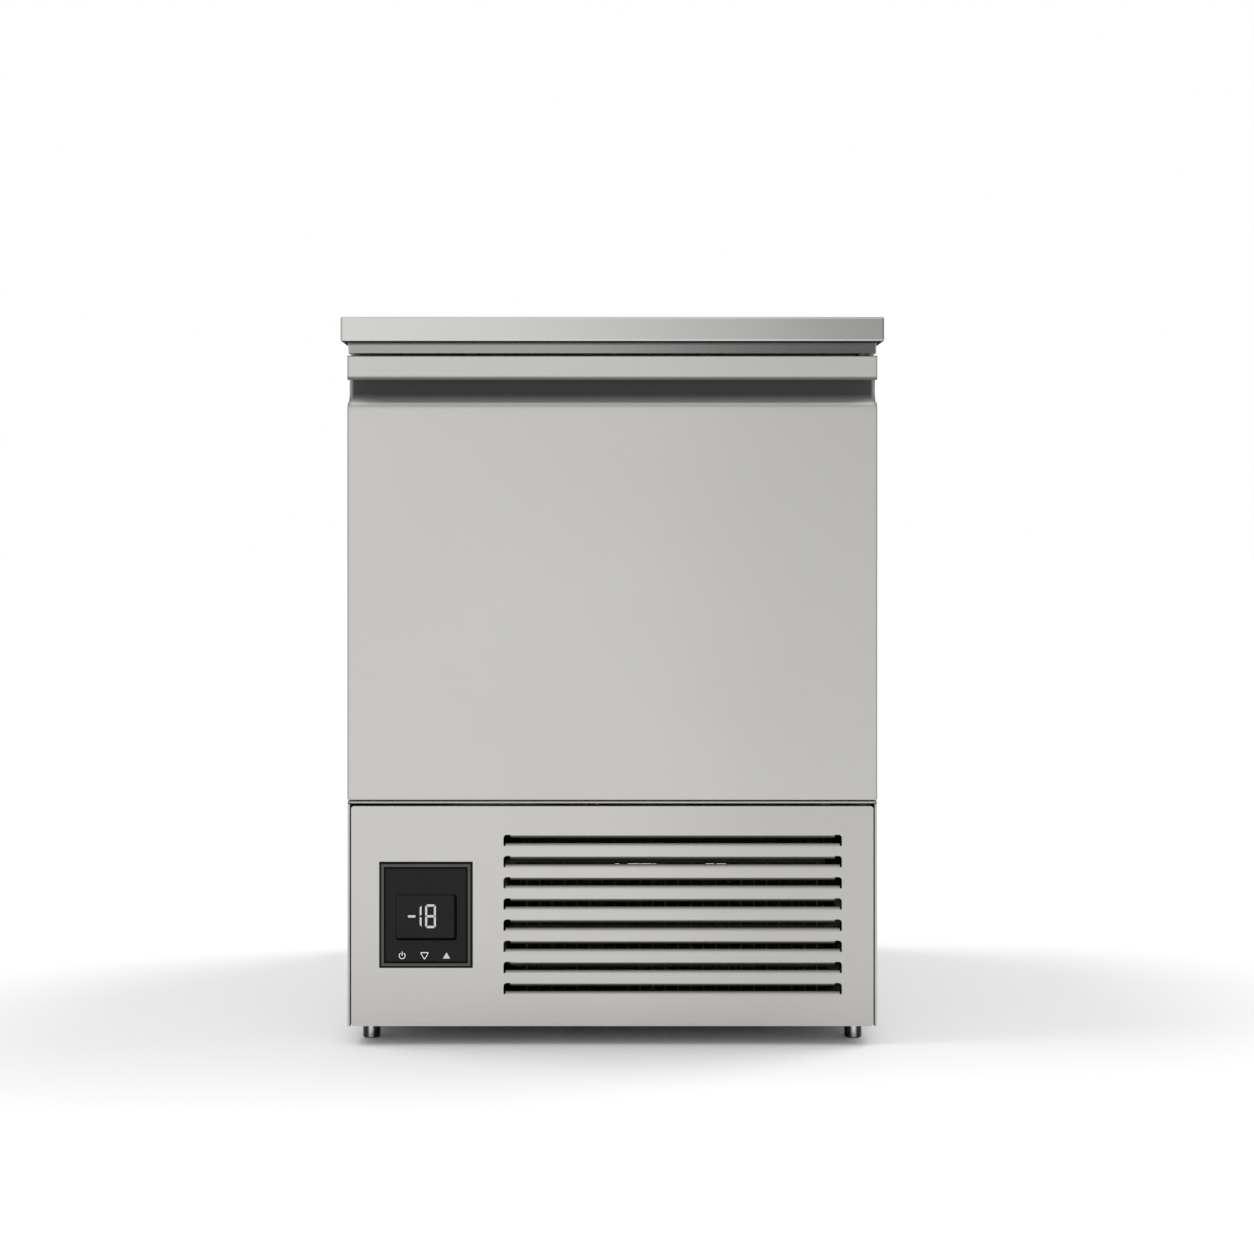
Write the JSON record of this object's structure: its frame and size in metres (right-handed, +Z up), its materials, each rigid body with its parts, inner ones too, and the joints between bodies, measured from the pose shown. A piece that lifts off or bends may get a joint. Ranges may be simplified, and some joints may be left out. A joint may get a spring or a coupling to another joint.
{
  "type": "undercounter freezer",
  "caption": "Stainless-steel undercounter freezer with a hinged door, integrated full-width grip, louvred base panel and electronic controller.",
  "frame": {"origin": "centre of the cabinet's footprint, on the floor", "axes": "+Z up, -Y out of the door's face, +X to the right as seen from the front"},
  "size_m": [0.606, 0.64, 0.813],
  "materials": {
    "stainless_steel": "satin",
    "recessed_steel": "satin",
    "zinc_sheet": "matte",
    "liner_steel": "satin",
    "hinge_steel": "satin",
    "foot_steel": "polished",
    "heater_steel": "satin",
    "fin_aluminium": "satin",
    "copper": "satin",
    "black_paint": "satin",
    "dark_plastic": "matte",
    "black_gloss": "gloss",
    "display_lens": "gloss",
    "circuit_board": "satin",
    "white_plastic": "satin",
    "coated_wire": "gloss",
    "gasket_rubber": "matte",
    "black_rubber": "matte",
    "bush_plastic": "satin",
    "core_board": "matte",
    "insulation": "matte"
  },
  "bodies": {
    "cabinet": {"worktop": "stainless_steel", "worktop_core": "core_board", "header_rail": "recessed_steel", "side_panel_left": "stainless_steel", "side_panel_right": "stainless_steel", "back_panel": "zinc_sheet", "rear_cover": "zinc_sheet", "bottom_sheet": "zinc_sheet", "cabinet_foam": "insulation", "inner_liner": "liner_steel", "front_frame": "liner_steel", "breaker_strip": "dark_plastic", "sill_plate": "stainless_steel", "base_tray": "zinc_sheet", "grille_panel": "stainless_steel", "control_bezel": "dark_plastic", "control_face": "black_gloss", "display_window": "display_lens", "control_board": "circuit_board", "shelf_rails_left": "liner_steel", "shelf_rails_right": "liner_steel", "evaporator_cover": "liner_steel", "evaporator_coil": "fin_aluminium", "evaporator_fan_motor": "dark_plastic", "fan_guard": "coated_wire", "drip_tray": "fin_aluminium", "drain_tube": "dark_plastic", "defrost_heater": "heater_steel", "temperature_probe": "dark_plastic", "compressor": "black_paint", "compressor_mounts": "black_rubber", "terminal_box": "dark_plastic", "condenser_coil": "black_paint", "condenser_shroud": "zinc_sheet", "condenser_fan_motor": "black_paint", "filter_drier": "copper", "discharge_pipe": "copper", "liquid_pipe": "copper", "suction_pipe": "black_rubber", "condensate_tray": "dark_plastic", "power_inlet": "dark_plastic", "hinge_bracket_top": "hinge_steel", "hinge_bracket_bottom": "hinge_steel", "screws": "hinge_steel"},
    "door": {"door_skin": "stainless_steel", "door_end_left": "stainless_steel", "door_end_right": "stainless_steel", "door_foam": "insulation", "door_liner": "white_plastic", "door_gasket": "gasket_rubber", "hinge_bushes": "bush_plastic"},
    "shelf_low": {"shelf_lower": "coated_wire"},
    "shelf_mid": {"shelf_middle": "coated_wire"},
    "shelf_high": {"shelf_upper": "coated_wire"},
    "evaporator_wheel": {"evaporator_fan": "dark_plastic"},
    "condenser_wheel": {"condenser_fan": "dark_plastic"},
    "foot_fl": {"foot_front_left": "foot_steel"},
    "foot_fr": {"foot_front_right": "foot_steel"},
    "foot_rl": {"foot_rear_left": "foot_steel"},
    "foot_rr": {"foot_rear_right": "foot_steel"}
  },
  "joints": [
    {"name": "door_hinge", "type": "hinge", "parent": "cabinet", "child": "door", "pos_m": [0.282, -0.298, 0.5], "axis": [0, 0, 1], "range_deg": [0, 115]},
    {"name": "condenser_fan_spin", "type": "hinge", "parent": "cabinet", "child": "condenser_wheel", "pos_m": [0.0674, -0.2, 0.1228], "axis": [0, -1, 0], "continuous": true},
    {"name": "evaporator_fan_spin", "type": "hinge", "parent": "cabinet", "child": "evaporator_wheel", "pos_m": [0, 0.2, 0.65], "axis": [0, -1, 0], "continuous": true},
    {"name": "lower_shelf_slide", "type": "slide", "parent": "cabinet", "child": "shelf_low", "axis": [0, -1, 0], "range_m": [0, 0.012]},
    {"name": "middle_shelf_slide", "type": "slide", "parent": "cabinet", "child": "shelf_mid", "axis": [0, -1, 0], "range_m": [0, 0.012]},
    {"name": "upper_shelf_slide", "type": "slide", "parent": "cabinet", "child": "shelf_high", "axis": [0, -1, 0], "range_m": [0, 0.012]},
    {"name": "front_left_foot_screw", "type": "slide", "parent": "cabinet", "child": "foot_fl", "axis": [0, 0, -1], "range_m": [0, 0.015]},
    {"name": "front_right_foot_screw", "type": "slide", "parent": "cabinet", "child": "foot_fr", "axis": [0, 0, -1], "range_m": [0, 0.015]},
    {"name": "rear_left_foot_screw", "type": "slide", "parent": "cabinet", "child": "foot_rl", "axis": [0, 0, -1], "range_m": [0, 0.015]},
    {"name": "rear_right_foot_screw", "type": "slide", "parent": "cabinet", "child": "foot_rr", "axis": [0, 0, -1], "range_m": [0, 0.015]}
  ]
}
